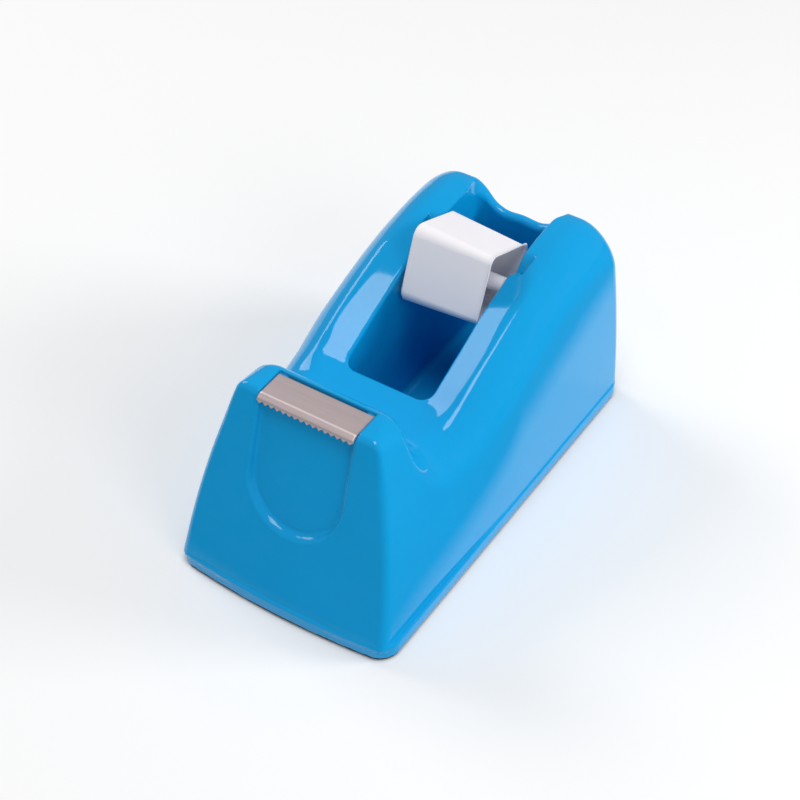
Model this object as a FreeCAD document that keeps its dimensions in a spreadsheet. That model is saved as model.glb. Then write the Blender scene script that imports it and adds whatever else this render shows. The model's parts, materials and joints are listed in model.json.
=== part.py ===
import FreeCAD, Part
import math
import os
from FreeCAD import Vector

# Desk tape dispenser for small rolls on a 25 mm core.
# +Z is up, the cutter end faces -Y, and the origin is the middle of the footprint on the desk.
# All lengths are in millimetres. Distances along the body are counted back from its front edge.

DIMENSIONS = [
    ("length", 105.0, "front edge to back edge of the skirt"),
    ("width", 56.0, "across the skirt"),
    ("wall", 2.0, "wall of the moulded shell"),
    ("front_bow", 1.3, "how far the front edge bows out"),
    ("corner", 5.0, "corner radius of the footprint"),
    ("front_corner", 3.0, "corner radius between the front face and the flanks"),
    ("skirt_top", 4.2, "top of the skirt band"),
    ("skirt_proud", 0.6, "skirt band stands out from the wall"),
    ("pad_thick", 0.8, "foam foot pad"),
    ("pad_inset", 0.35, "pad edge inside the skirt edge"),
    ("plate_thick", 1.8, "base plate"),
    ("plate_inset", 1.6, "base plate edge inside the skirt edge"),
    ("fit_gap", 0.1, "gap round pieces that drop into a pocket"),
    ("head_top", 49.8, "top of the cutter head"),
    ("head_back", 24.2, "back of the cutter head"),
    ("front_lean", 14.1, "front face leans back by this much at the head"),
    ("valley", 35.0, "floor of the finger valley"),
    ("ear_top", 51.7, "top of the two ears"),
    ("back_lean", 1.6, "back face leans in by this much at the ears"),
    ("head_round", 2.6, "rounding at the back of the head top"),
    ("head_slope", 1.8, "back of the head slopes back by this much"),
    ("valley_run", 8.0, "valley floor starts this far behind the head"),
    ("ridge_across", 17.9, "ridge of each band from the middle"),
    ("saddle", 42.9, "top of the back wall between the ears"),
    ("saddle_flat", 5.5, "half of the flat part of the low back wall"),
    ("saddle_side", 12.4, "where the low back wall has risen to the ears"),
    ("saddle_rise", 8.5, "rise of the low back wall to the ears"),
    ("well_width", 22.0, "across the tape well"),
    ("well_front", 43.5, "front edge of the tape well"),
    ("well_back", 100.5, "back wall of the tape well"),
    ("well_floor", 7.5, "floor of the tape well"),
    ("well_corner", 0.8, "corner radius of the tape well"),
    ("axle_back", 75.9, "axle line behind the front edge"),
    ("axle_up", 44.9, "axle line above the desk"),
    ("slot_angle", 43.5, "rise of the axle slots, in degrees"),
    ("slot_wide", 3.1, "axle slot"),
    ("slot_deep", 3.0, "axle slot into the well wall"),
    ("slot_long", 16.0, "axle slot from its seat to past the rim"),
    ("bearing_long", 18.0, "thick wall round each slot"),
    ("bearing_low", 38.0, "foot of the thick wall round each slot"),
    ("trunnion_radius", 1.5, "end of the axle"),
    ("axle_radius", 1.95, "middle of the axle"),
    ("axle_middle", 21.2, "length of the thick middle of the axle"),
    ("axle_length", 27.2, "whole axle"),
    ("core_length", 20.0, "tape core"),
    ("core_side", 18.8, "across two flats of the core"),
    ("core_corner", 3.0, "corner radius of the core"),
    ("core_wall", 1.4, "wall of the core"),
    ("core_turn", 22.9, "turn of the core about its axle, in degrees"),
    ("core_web", 1.6, "web across the middle of the core"),
    ("hub_radius", 3.6, "hub of the core"),
    ("hub_length", 10.0, "hub of the core"),
    ("hub_bore", 2.0, "radius of the bore in the hub"),
    ("blade_wide", 24.0, "cutter blade"),
    ("blade_thick", 0.5, "blade steel"),
    ("blade_back", 21.9, "back edge of the blade"),
    ("blade_crease", 14.9, "bend line of the blade"),
    ("blade_top", 49.4, "top face of the blade"),
    ("blade_nose", 1.9, "length of the blade's bent lip"),
    ("blade_dip", 25.0, "slope of the bent lip, in degrees"),
    ("blade_tab", 3.4, "tab turned down at the back edge"),
    ("tab_inset", 2.0, "tab is narrower than the blade on each side"),
    ("seat_gap", 0.25, "gap round the blade in its seat"),
    ("seat_front", 8.0, "seat runs out of the front face"),
    ("tooth_count", 16.0, "teeth on the blade"),
    ("tooth_deep", 0.9, "depth of a tooth"),
    ("scoop_wide", 24.0, "thumb scoop in the front face"),
    ("scoop_low", 20.6, "lowest point of the scoop"),
    ("scoop_deep", 1.5, "depth of the scoop"),
    ("ballast_wide", 42.0, "ballast plate"),
    ("ballast_long", 72.0, "ballast plate"),
    ("ballast_thick", 2.4, "ballast plate"),
    ("ballast_corner", 4.0, "corner radius of the ballast plate"),
    ("boss_radius", 3.0, "screw boss"),
    ("boss_across", 33.0, "between the left and right bosses"),
    ("boss_front", 11.0, "front bosses behind the front edge"),
    ("boss_back", 94.5, "back bosses behind the front edge"),
    ("boss_top", 14.0, "top of the screw bosses"),
    ("rib_thick", 1.6, "rib that ties a boss to the end wall"),
    ("rib_long", 11.0, "rib that ties a boss to the end wall"),
    ("screw_radius", 1.3, "thread of the base screws"),
    ("screw_head", 2.4, "head of the base screws"),
    ("screw_long", 8.0, "base screws"),
    ("cross_wide", 2.6, "cross recess in a screw head"),
    ("cross_slot", 0.6, "width and depth of the cross recess"),
    ("beyond", 60.0, "cutters reach this far past the body"),
]


def make_sheet(doc):
    """Write the driving dimensions into a spreadsheet, one named cell each."""
    sheet = doc.addObject("Spreadsheet::Sheet", "dims")
    for row, (alias, value, meaning) in enumerate(DIMENSIONS, start=1):
        sheet.set("A%d" % row, alias)
        sheet.set("B%d" % row, str(value))
        sheet.set("C%d" % row, meaning)
        sheet.setAlias("B%d" % row, alias)
    doc.recompute()
    return sheet


doc = FreeCAD.newDocument("tape_dispenser")
sheet = make_sheet(doc)


def size(alias):
    """The value of one named cell."""
    return float(sheet.get(alias))


def along(distance):
    """Y of a place that lies this far behind the front edge."""
    return distance - size("length") / 2.0


def bind(obj, **expressions):
    """Bind properties to the sheet; x, y and z mean the position, angle and others go by name."""
    places = {"x": "Placement.Base.x", "y": "Placement.Base.y", "z": "Placement.Base.z"}
    for name, text in expressions.items():
        obj.setExpression(places.get(name, name), text)
    return obj


def box(name, **expressions):
    return bind(doc.addObject("Part::Box", name), **expressions)


def cylinder(name, axis=Vector(0, 0, 1), **expressions):
    obj = doc.addObject("Part::Cylinder", name)
    obj.Placement.Rotation = FreeCAD.Rotation(Vector(0, 0, 1), axis)
    return bind(obj, **expressions)


def solid(name, shape):
    """A shape worked out here, kept as an object of the document."""
    obj = doc.addObject("Part::Feature", name)
    obj.Shape = shape
    return obj


def fuse(name, pieces):
    obj = doc.addObject("Part::MultiFuse", name)
    obj.Shapes = pieces
    return obj


def cut(name, base, tool):
    obj = doc.addObject("Part::Cut", name)
    obj.Base = base
    obj.Tool = tool
    return obj


def common(name, pieces):
    obj = doc.addObject("Part::MultiCommon", name)
    obj.Shapes = pieces
    return obj


def fillet(name, base, radius, chosen):
    """Round the edges of base for which chosen(edge) is true."""
    doc.recompute()
    obj = doc.addObject("Part::Fillet", name)
    obj.Base = base
    obj.Edges = [(i, radius, radius) for i, edge in enumerate(base.Shape.Edges, start=1) if chosen(edge)]
    return obj


def polygon(points):
    return Part.makePolygon(points + points[:1])


def prism_x(wire, half_width=size("beyond")):
    """Carry an outline in the Y-Z plane across the width."""
    face = Part.Face(wire)
    face.translate(Vector(-half_width, 0, 0))
    return face.extrude(Vector(2 * half_width, 0, 0))


# ---------------------------------------------------------------- outer form of the shell

# Half sections of the body: distance from the front, then (across, up) of the waist, the shoulder
# and the ridge. The head is a plain taper and the rear body has a full, round shoulder.
SECTIONS = [
    (-4.0, (24.4, 20.0), (20.3, 38.5), (16.8, 50.0)),
    (11.0, (24.4, 20.0), (20.3, 38.5), (16.8, 50.0)),
    (22.0, (24.8, 19.0), (21.3, 35.0), (17.2, 47.0)),
    (30.0, (25.8, 18.0), (22.6, 32.4), (18.2, 38.6)),
    (38.0, (26.6, 17.0), (23.5, 31.6), (18.5, 35.3)),
    (48.0, (26.9, 19.0), (24.0, 35.8), (18.5, 39.4)),
    (57.0, (27.0, 21.0), (24.2, 39.6), (18.5, 43.2)),
    (68.0, (27.0, 23.0), (24.3, 43.2), (18.6, 47.3)),
    (80.0, (27.0, 24.0), (24.2, 44.8), (18.9, 50.6)),
    (92.0, (26.9, 24.5), (23.9, 44.4), (19.2, 51.3)),
    (110.0, (26.6, 24.5), (23.3, 43.2), (19.2, 51.0)),
]


# Side view of the bands' rise behind the valley, and of the ears' round backs: (distance, height).
RAMP = [(38.0, 35.4), (43.0, 37.0), (48.0, 39.4), (57.0, 43.2), (68.0, 47.3), (79.0, 50.4), (86.0, 51.5)]
EAR_BACK = [(92.0, 51.7), (99.6, 49.6), (103.6, 45.0)]

# The bands beside the well: distance, height at the well's rim, and height at the ridge.
BANDS = [(39.0, 35.9, 35.6), (43.5, 35.0, 37.1), (48.0, 37.1, 39.4), (57.0, 41.3, 43.2), (68.0, 45.9, 47.3),
         (79.0, 48.4, 50.4), (86.0, 50.2, 51.5), (96.0, 50.9, 51.7), (108.0, 50.9, 51.7)]

# Ceiling of the hollow behind the head in side view: (distance, height).
CEILING = [(20.0, 45.2), (24.0, 31.4), (42.0, 31.4), (57.0, 39.2), (79.0, 46.4), (92.0, 47.6), (98.0, 45.6),
           (101.5, 41.0)]

# How much of an inset each point of a cross-section takes downwards and sideways, foot to crown.
INSET_DOWN = [0.0, 0.1, 0.55, 0.9, 1.0]
INSET_SIDE = [1.0, 1.0, 0.95, 0.7, 0.0]


def section_wire(station, inset):
    """One closed cross-section: a smooth curve from side to side over the crown, and the base."""
    y, waist, shoulder, ridge = station
    foot = (size("width") / 2 - size("skirt_proud"), 0.0)
    rise = 0.42 * (ridge[1] - shoulder[1]) + 1.0
    crown = (ridge[0] / 2, ridge[1] + rise)
    half = [foot, waist, shoulder, ridge, crown]
    right = [Vector(point[0] - inset * side, along(y), point[1] - inset * down)
             for point, side, down in zip(half, INSET_SIDE, INSET_DOWN)]
    top = [Vector(0, along(y), crown[1] + 0.35 * rise - inset)]
    left = [Vector(-p.x, p.y, p.z) for p in reversed(right)]
    points = right + top + left
    curve = Part.BSplineCurve()
    steps = len(points) - 1
    curve.interpolate(Points=points, Parameters=[i / steps for i in range(steps + 1)])
    return Part.Wire([curve.toShape(), Part.makeLine(points[-1], points[0])])


def flank_form(inset):
    """The smooth skin of the body before its ends and its top are cut."""
    return Part.makeLoft([section_wire(station, inset) for station in SECTIONS], True, False)


def end_form(inset):
    """A tall block between the bowed leaning front face and the leaning back face."""
    beyond = size("beyond")
    bow_radius = (size("width") / 2) ** 2 / (2 * size("front_bow"))
    rise = size("head_top") - size("skirt_top")
    lean = Vector(0, size("front_lean"), rise).normalize()
    start = Vector(0, along(size("skirt_proud") + inset), size("skirt_top"))
    normal = Vector(0, lean.z, -lean.y)
    centre = start + normal * bow_radius - lean * 2 * beyond
    front = Part.makeCylinder(bow_radius, 4 * beyond, centre, lean)
    back_foot = Vector(0, along(size("length") - size("skirt_proud") - inset), 0)
    back_head = back_foot + Vector(0, -size("back_lean") * beyond / size("ear_top"), beyond)
    outline = polygon([Vector(0, -beyond, -beyond), back_foot - Vector(0, 0, beyond), back_foot, back_head,
                       Vector(0, -beyond, beyond)])
    return front.common(prism_x(outline))


def top_profile():
    """The side view of the top: head, finger valley, rising ridge and rounded ear, as a cutter."""
    head = size("head_top")
    back = size("head_back")
    floor = size("valley")
    beyond = size("beyond")
    turn = size("head_round")
    sag = turn * (1 - math.sqrt(0.5))
    slope = back + size("head_slope")
    start = back + size("valley_run")
    p = lambda y, z: Vector(0, along(y), z)
    edges = [Part.makeLine(p(-beyond, head), p(back - turn, head))]
    edges.append(Part.Arc(p(back - turn, head), p(back - sag, head - sag), p(back, head - turn)).toShape())
    edges.append(Part.makeLine(p(back, head - turn), p(slope, floor + 5.2)))
    edges.append(Part.Arc(p(slope, floor + 5.2), p(slope + 1.9, floor + 1.3), p(start, floor)).toShape())
    ramp = Part.BSplineCurve()
    ramp.interpolate(Points=[p(start, floor)] + [p(*point) for point in RAMP + EAR_BACK[:1]],
                     InitialTangent=Vector(0, 1, 0), FinalTangent=Vector(0, 1, 0))
    edges.append(ramp.toShape())
    edges.append(Part.Arc(*[p(*point) for point in EAR_BACK]).toShape())
    end = size("length") + size("wall")
    outer = [p(*EAR_BACK[-1]), p(end, floor), p(end, 2 * beyond), p(-beyond, 2 * beyond), p(-beyond, head)]
    edges += [Part.makeLine(a, b) for a, b in zip(outer, outer[1:])]
    return prism_x(Part.Wire(edges))


def band_dish():
    """A cutter that tilts the two bands beside the tape well in towards it."""
    inner = size("well_width") / 2
    lip = size("ridge_across")
    outer = size("width") / 2 + size("wall")
    wires = []
    for y, low, ridge in BANDS:
        far = ridge + (ridge - low) * (outer - lip) / (lip - inner)
        high = size("ear_top") + size("beyond")
        side = [Vector(inner, along(y), low), Vector(outer, along(y), far), Vector(outer, along(y), high)]
        wires.append(polygon(side + [Vector(-v.x, v.y, v.z) for v in reversed(side)]))
    return Part.makeLoft(wires, True, False)


def saddle_cutter():
    """The low back wall between the ears, with an S-curve up to each ear."""
    low = size("saddle")
    y = along(size("well_back") - size("wall"))
    flat, side = size("saddle_flat"), size("saddle_side")
    top = low + size("saddle_rise")
    middle = (flat + 0.54 * (side - flat), low + 0.3 * size("saddle_rise"))
    bend = [Vector(flat, y, low), Vector(middle[0], y, middle[1]), Vector(side, y, top)]
    right = Part.BSplineCurve()
    right.interpolate(Points=bend, InitialTangent=Vector(1, 0, 0), FinalTangent=Vector(0.2, 0, 1))
    left = Part.BSplineCurve()
    left.interpolate(Points=[Vector(-v.x, v.y, v.z) for v in reversed(bend)],
                     InitialTangent=Vector(0.2, 0, -1), FinalTangent=Vector(1, 0, 0))
    high = Vector(0, 0, size("beyond"))
    corners = [bend[-1], bend[-1] + high, Vector(-side, y, top) + high, Vector(-side, y, top)]
    edges = [right.toShape()] + [Part.makeLine(a, b) for a, b in zip(corners, corners[1:])]
    edges += [left.toShape(), Part.makeLine(Vector(-flat, y, low), bend[0])]
    return Part.Face(Part.Wire(edges)).extrude(Vector(0, size("beyond"), 0))


def foot_outline(inset, z):
    """The bowed, round-cornered footprint, drawn inset from the skirt edge."""
    x = size("width") / 2 - inset
    y = size("length") / 2 - inset
    r = size("corner")
    bow = size("front_bow")
    side_front = -y + bow
    p = lambda a, b: Vector(a, b, z)
    mid = r * (1 - math.sqrt(0.5))
    edges = [
        Part.Arc(p(-x + r, side_front), p(0, -y), p(x - r, side_front)).toShape(),
        Part.Arc(p(x - r, side_front), p(x - mid, side_front + mid), p(x, side_front + r)).toShape(),
        Part.makeLine(p(x, side_front + r), p(x, y - r)),
        Part.Arc(p(x, y - r), p(x - mid, y - mid), p(x - r, y)).toShape(),
        Part.makeLine(p(x - r, y), p(-x + r, y)),
        Part.Arc(p(-x + r, y), p(-x + mid, y - mid), p(-x, y - r)).toShape(),
        Part.makeLine(p(-x, y - r), p(-x, side_front + r)),
        Part.Arc(p(-x, side_front + r), p(-x + mid, side_front + mid), p(-x + r, side_front)).toShape(),
    ]
    return Part.Wire(edges)


def foot_slab(inset, low, high):
    return Part.Face(foot_outline(inset, low)).extrude(Vector(0, 0, high - low))


def boss_places():
    """Left and right, front and back screw places."""
    across = size("boss_across") / 2
    return [(x, along(y)) for x in (-across, across) for y in (size("boss_front"), size("boss_back"))]


def cavity():
    """The hollow under the skin, which leaves the tape well, the head's seat and the bosses standing."""
    wall = size("wall")
    beyond = size("beyond")
    p = lambda y, z: Vector(0, along(y), z)
    outline = polygon([p(-beyond, -beyond), p(-beyond, CEILING[0][1])] + [p(*point) for point in CEILING]
                      + [p(size("length") - wall, -beyond)])
    hollow = flank_form(wall).common(end_form(wall + size("scoop_deep") + 0.2))
    hollow = hollow.common(prism_x(outline))
    inner = size("well_width") / 2 + wall
    front = along(size("well_front") - wall)
    well_walls = Part.makeBox(2 * inner, 2 * beyond, beyond, Vector(-inner, front, size("well_floor") - wall))
    hollow = hollow.cut(well_walls)
    bearing = size("well_width") / 2 + size("slot_deep") + wall
    start = along(size("axle_back") + size("slot_wide") - size("bearing_long") / 2 - 0.6)
    hollow = hollow.cut(Part.makeBox(2 * bearing, size("bearing_long"), beyond,
                                     Vector(-bearing, start, size("bearing_low"))))
    rib = size("rib_thick")
    tall = size("boss_top")
    for x, y in boss_places():
        boss = Part.makeCylinder(size("boss_radius"), tall, Vector(x, y, 0))
        rib_start = y if y > 0 else along(0)
        boss = boss.fuse(Part.makeBox(rib, size("rib_long"), tall, Vector(x - rib / 2, rib_start, 0)))
        hollow = hollow.cut(boss)
    return hollow


def slot_cutter(side):
    """One inclined axle slot with a round seat, cut from the well into its wall."""
    half = size("slot_wide") / 2
    bite = 0.5
    start = size("well_width") / 2 - bite
    reach = size("slot_deep") + bite
    seat = Part.makeCylinder(half, reach, Vector(start, 0, 0), Vector(1, 0, 0))
    lane = Part.makeBox(reach, size("slot_long"), 2 * half, Vector(start, 0, -half))
    shape = seat.fuse(lane)
    shape.rotate(Vector(0, 0, 0), Vector(1, 0, 0), size("slot_angle"))
    shape.translate(Vector(0, along(size("axle_back")), size("axle_up")))
    return shape if side > 0 else shape.mirror(Vector(0, 0, 0), Vector(1, 0, 0))


def seat_cutter():
    """The recess in the head that the blade lies in, and the slit for its turned-down tab."""
    gap = size("fit_gap")
    half = size("blade_wide") / 2 + size("seat_gap")
    thick = size("blade_thick")
    under = size("blade_top") - thick
    crease = size("blade_crease")
    back = size("blade_back") + size("seat_gap")
    front = size("seat_front")
    beyond = size("beyond")
    fall = math.tan(math.radians(size("blade_dip"))) * (crease - front)
    p = lambda y, z: Vector(0, along(y), z)
    outline = polygon([p(back, beyond), p(back, under), p(crease, under), p(front, under - fall),
                       p(front, beyond)])
    slit_half = size("blade_wide") / 2 - size("tab_inset") + gap
    slit_long = thick + size("seat_gap") + gap
    slit_deep = size("blade_tab") - thick + gap
    slit = Part.makeBox(2 * slit_half, slit_long, slit_deep + gap,
                        Vector(-slit_half, along(back) - slit_long, under - slit_deep))
    return prism_x(outline, half).fuse(slit)


def scoop_cutter():
    """A U-shaped thumb scoop sunk square into the leaning front face, open towards the blade."""
    half = size("scoop_wide") / 2
    low = size("scoop_low")
    rise = size("head_top") - size("skirt_top")
    slant = math.atan2(size("front_lean"), rise)
    foot = (low - size("skirt_top")) / math.cos(slant)
    top = size("beyond")
    outline = Part.Wire([
        Part.Arc(Vector(-half, 0, foot + half), Vector(0, 0, foot), Vector(half, 0, foot + half)).toShape(),
        Part.makeLine(Vector(half, 0, foot + half), Vector(half, 0, top)),
        Part.makeLine(Vector(half, 0, top), Vector(-half, 0, top)),
        Part.makeLine(Vector(-half, 0, top), Vector(-half, 0, foot + half)),
    ])
    shape = Part.Face(outline).extrude(Vector(0, size("beyond") + size("scoop_deep"), 0))
    shape.translate(Vector(0, -size("beyond"), 0))
    shape.rotate(Vector(0, 0, 0), Vector(1, 0, 0), -math.degrees(slant))
    shape.translate(Vector(0, along(size("skirt_proud")), size("skirt_top")))
    return shape


def make_body_shell():
    """The moulded shell: skin, skirt, tape well, slots, seat, scoop, cavity and screw holes."""
    skin = common("shell_skin", [solid("flanks", flank_form(0.0)), solid("ends", end_form(0.0))])
    topped = cut("shell_topped", skin, solid("top_cutter", top_profile()))
    front_limit = along(size("head_back"))
    back_limit = along(size("well_back"))

    def upright(edge):
        return edge.BoundBox.ZLength > size("ear_top") / 2 and edge.BoundBox.XLength < size("width") / 3

    front_round = fillet("front_round", topped, size("front_corner"),
                         lambda edge: upright(edge) and edge.BoundBox.YMax < front_limit)
    rounded = fillet("back_round", front_round, size("corner"),
                     lambda edge: upright(edge) and edge.BoundBox.YMin > back_limit)
    dished = cut("shell_dished", rounded, solid("band_cutter", band_dish()))
    saddled = cut("shell_saddled", dished, solid("saddle_tool", saddle_cutter()))
    under = box("under_skin", Length="2 * dims.beyond", Width="2 * dims.beyond", Height="dims.beyond",
                x="-dims.beyond", y="-dims.beyond", z="dims.skirt_top - dims.beyond - 0.5")
    trimmed = cut("shell_trimmed", saddled, under)
    skirt = solid("skirt", foot_slab(0.0, size("pad_thick"), size("skirt_top")))
    skirted = fuse("shell_skirted", [trimmed, skirt])

    well = box("well_block", Length="dims.well_width", Width="dims.well_back - dims.well_front",
               Height="dims.beyond", x="-dims.well_width / 2", y="dims.well_front - dims.length / 2",
               z="dims.well_floor")

    well_round = fillet("well_round", well, size("well_corner"),
                        lambda edge: edge.BoundBox.ZLength > size("ear_top"))
    plate_pocket = solid("plate_pocket", foot_slab(
        size("plate_inset") - size("fit_gap"), 0.0, size("pad_thick") + size("plate_thick")))
    hollow = solid("hollow", cavity())
    slots = solid("slots", slot_cutter(1).fuse(slot_cutter(-1)))
    seat = solid("blade_seat", seat_cutter())
    scoop = solid("scoop", scoop_cutter())
    pilots = [cylinder("pilot_%d" % i, Radius="dims.screw_radius - 0.15", Height="dims.screw_long + 1")
              for i in range(4)]
    for pilot, (x, y) in zip(pilots, boss_places()):
        pilot.Placement.Base = Vector(x, y, 0)
    tools = fuse("shell_tools", [well_round, plate_pocket, hollow, slots, seat, scoop] + pilots)
    return cut("body_shell", skirted, tools)


# ---------------------------------------------------------------- base, pad, ballast and screws

def make_base_plate():
    """The flat cover that closes the underside, with four countersunk holes."""
    low = size("pad_thick")
    slab = solid("plate_slab", foot_slab(size("plate_inset"), low, low + size("plate_thick")))
    holes = []
    for i, (x, y) in enumerate(boss_places()):
        hole = cylinder("plate_hole_%d" % i, Radius="dims.screw_radius + dims.fit_gap",
                        Height="dims.boss_top")
        hole.Placement.Base = Vector(x, y, 0)
        sink = doc.addObject("Part::Cone", "plate_sink_%d" % i)
        bind(sink, Radius1="dims.screw_head + dims.fit_gap",
             Radius2="dims.screw_radius + dims.fit_gap", Height="dims.screw_head - dims.screw_radius")
        sink.Placement.Base = Vector(x, y, low)
        holes += [hole, sink]
    return cut("base_plate", slab, fuse("plate_holes", holes))


def make_foot_pad():
    """One sheet of foam under the plate and the skirt."""
    return solid("foot_pad", foot_slab(size("pad_inset"), 0.0, size("pad_thick")))


def make_ballast():
    """A flat steel plate between the base plate and the floor of the tape well."""
    plate = box("ballast_block", Length="dims.ballast_wide", Width="dims.ballast_long",
                Height="dims.ballast_thick", x="-dims.ballast_wide / 2",
                y="-dims.ballast_long / 2", z="dims.pad_thick + dims.plate_thick + dims.fit_gap")
    return fillet("ballast_weight", plate, size("ballast_corner"),
                  lambda edge: edge.BoundBox.ZLength > size("ballast_thick") / 2)


def make_base_screws():
    """Four countersunk screws, one group of separate solids."""
    low = size("pad_thick")
    cone = size("screw_head") - size("screw_radius")
    wide, slot = size("cross_wide"), size("cross_slot")
    screws = []
    for x, y in boss_places():
        head = Part.makeCone(size("screw_head"), size("screw_radius"), cone, Vector(x, y, low))
        shank = Part.makeCylinder(size("screw_radius") - 0.2, size("screw_long") - cone,
                                  Vector(x, y, low + cone))
        cross = Part.makeBox(wide, slot, slot, Vector(x - wide / 2, y - slot / 2, low))
        cross = cross.fuse(Part.makeBox(slot, wide, slot, Vector(x - slot / 2, y - wide / 2, low)))
        screws.append(head.fuse(shank).cut(cross))
    return solid("base_screws", Part.makeCompound(screws))


# ---------------------------------------------------------------- cutter blade

def make_blade():
    """A strip of steel bent down at the front into a toothed lip and at the back into a tab."""
    half = size("blade_wide") / 2
    thick = size("blade_thick")
    top = size("blade_top")
    crease = size("blade_crease")
    slope = math.radians(size("blade_dip"))
    nose = size("blade_nose")
    back = size("blade_back")
    p = lambda y, z: Vector(-half, along(y), z)
    tip = (crease - nose * math.cos(slope), top - nose * math.sin(slope))
    under = (tip[0] + thick * math.sin(slope), tip[1] - thick * math.cos(slope))
    bend = crease + thick * math.tan(slope / 2)
    outline = polygon([p(back, top), p(crease, top), p(*tip), p(*under), p(bend, top - thick),
                       p(back, top - thick)])
    strip = Part.Face(outline).extrude(Vector(2 * half, 0, 0))
    tab_half = half - size("tab_inset")
    tab = Part.makeBox(2 * tab_half, thick, size("blade_tab"),
                       Vector(-tab_half, along(back) - thick, top - size("blade_tab")))
    strip = strip.fuse(tab).removeSplitter()
    count = int(size("tooth_count"))
    pitch = 2 * half / count
    deep = size("tooth_deep")
    gaps = []
    for i in range(count + 1):
        x = -half + i * pitch
        left, right = x - pitch / 2, x + pitch / 2
        corners = [(left, -deep), (right, -deep), (right, 0), (x, deep), (left, 0)]
        notch = Part.Face(polygon([Vector(a, b, 0) for a, b in corners])).extrude(Vector(0, 0, 4 * nose))
        notch.translate(Vector(0, 0, -2 * nose))
        notch.rotate(Vector(0, 0, 0), Vector(1, 0, 0), math.degrees(slope))
        notch.translate(Vector(0, along(tip[0]), tip[1]))
        gaps.append(notch)
    return solid("cutter_blade", strip.cut(gaps))


# ---------------------------------------------------------------- tape core and axle

def rounded_square(side, radius, half_length):
    """A square bar with round corners along X, turned like the core at rest."""
    bar = Part.makeBox(2 * half_length, side, side, Vector(-half_length, -side / 2, -side / 2))
    edges = [edge for edge in bar.Edges if edge.BoundBox.XLength > half_length]
    bar = bar.makeFillet(radius, edges)
    bar.rotate(Vector(0, 0, 0), Vector(1, 0, 0), size("core_turn") + 45.0)
    return bar


def make_core():
    """A hollow square drum with a web and a hub in its middle, which spins on the axle."""
    half = size("core_length") / 2
    wall = size("core_wall")
    side = size("core_side")
    drum = rounded_square(side, size("core_corner"), half)
    drum = drum.cut(rounded_square(side - 2 * wall, size("core_corner") - wall, half + 1))
    web = rounded_square(side - wall, size("core_corner") - wall / 2, size("core_web") / 2)
    hub = Part.makeCylinder(size("hub_radius"), size("hub_length"),
                            Vector(-size("hub_length") / 2, 0, 0), Vector(1, 0, 0))
    bore = Part.makeCylinder(size("hub_bore"), 4 * half, Vector(-2 * half, 0, 0), Vector(1, 0, 0))
    shape = drum.fuse([web, hub]).cut(bore).removeSplitter()
    core = solid("tape_core", shape)
    core.Placement.Base = Vector(0, along(size("axle_back")), size("axle_up"))
    return core


def make_axle():
    """The core's axle: a thick middle and a thinner trunnion at each end."""
    middle = cylinder("axle_middle", Vector(1, 0, 0), Radius="dims.axle_radius",
                      Height="dims.axle_middle", x="-dims.axle_middle / 2",
                      y="dims.axle_back - dims.length / 2", z="dims.axle_up")
    ends = cylinder("axle_ends", Vector(1, 0, 0), Radius="dims.trunnion_radius",
                    Height="dims.axle_length", x="-dims.axle_length / 2",
                    y="dims.axle_back - dims.length / 2", z="dims.axle_up")
    return fuse("core_axle", [middle, ends])


NODES = {
    "body_shell": make_body_shell,
    "base_plate": make_base_plate,
    "foot_pad": make_foot_pad,
    "ballast_weight": make_ballast,
    "base_screws": make_base_screws,
    "cutter_blade": make_blade,
    "tape_core": make_core,
    "core_axle": make_axle,
}


def export_nodes(made):
    """Check every object and every sub-part, then write one file for each sub-part."""
    doc.recompute()
    for obj in doc.Objects:
        if "Invalid" in obj.State or "Error" in obj.State:
            raise RuntimeError("object %s did not recompute: %s" % (obj.Name, obj.State))
    for name, obj in made.items():
        if obj.Shape.isNull() or not obj.Shape.isValid():
            raise RuntimeError("sub-part %s is not a valid shape" % name)
    os.makedirs("parts", exist_ok=True)
    for name, obj in made.items():
        obj.Label = name
        obj.Shape.exportStep("parts/%s.step" % name)
        tight = obj.Shape.optimalBoundingBox(False)
        print("%-15s %d solids, %8.1f mm3, z %.2f to %.2f" % (
            name, len(obj.Shape.Solids), obj.Shape.Volume, tight.ZMin, tight.ZMax))


export_nodes({name: make() for name, make in NODES.items()})
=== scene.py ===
"""Desk tape dispenser: the visible shell, blade, core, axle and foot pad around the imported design."""

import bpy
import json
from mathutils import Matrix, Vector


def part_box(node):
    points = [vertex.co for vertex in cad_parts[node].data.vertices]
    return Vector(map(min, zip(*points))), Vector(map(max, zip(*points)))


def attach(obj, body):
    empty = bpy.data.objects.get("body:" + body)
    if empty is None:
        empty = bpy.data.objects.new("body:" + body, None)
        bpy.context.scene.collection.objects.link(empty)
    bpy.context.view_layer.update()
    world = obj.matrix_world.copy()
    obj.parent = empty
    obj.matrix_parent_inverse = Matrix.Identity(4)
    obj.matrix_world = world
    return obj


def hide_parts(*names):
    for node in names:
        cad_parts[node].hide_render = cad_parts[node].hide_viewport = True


bl_info = {
    "name": "Desk Tape Dispenser",
    "version": (1, 0, 0),
    "blender": (4, 5, 0),
    "location": "View3D > Sidebar > Dispenser",
    "description": "Builds a small desk tape dispenser round its packed design",
    "category": "Object",
}

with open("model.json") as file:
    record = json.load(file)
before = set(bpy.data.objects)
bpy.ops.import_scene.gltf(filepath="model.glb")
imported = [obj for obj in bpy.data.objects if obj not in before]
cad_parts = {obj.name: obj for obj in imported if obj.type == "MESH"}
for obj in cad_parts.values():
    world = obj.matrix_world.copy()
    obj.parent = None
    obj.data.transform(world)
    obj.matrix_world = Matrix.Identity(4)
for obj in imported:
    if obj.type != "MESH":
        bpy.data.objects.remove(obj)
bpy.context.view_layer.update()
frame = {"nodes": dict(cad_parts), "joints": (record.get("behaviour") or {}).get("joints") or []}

import json
import math

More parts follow.
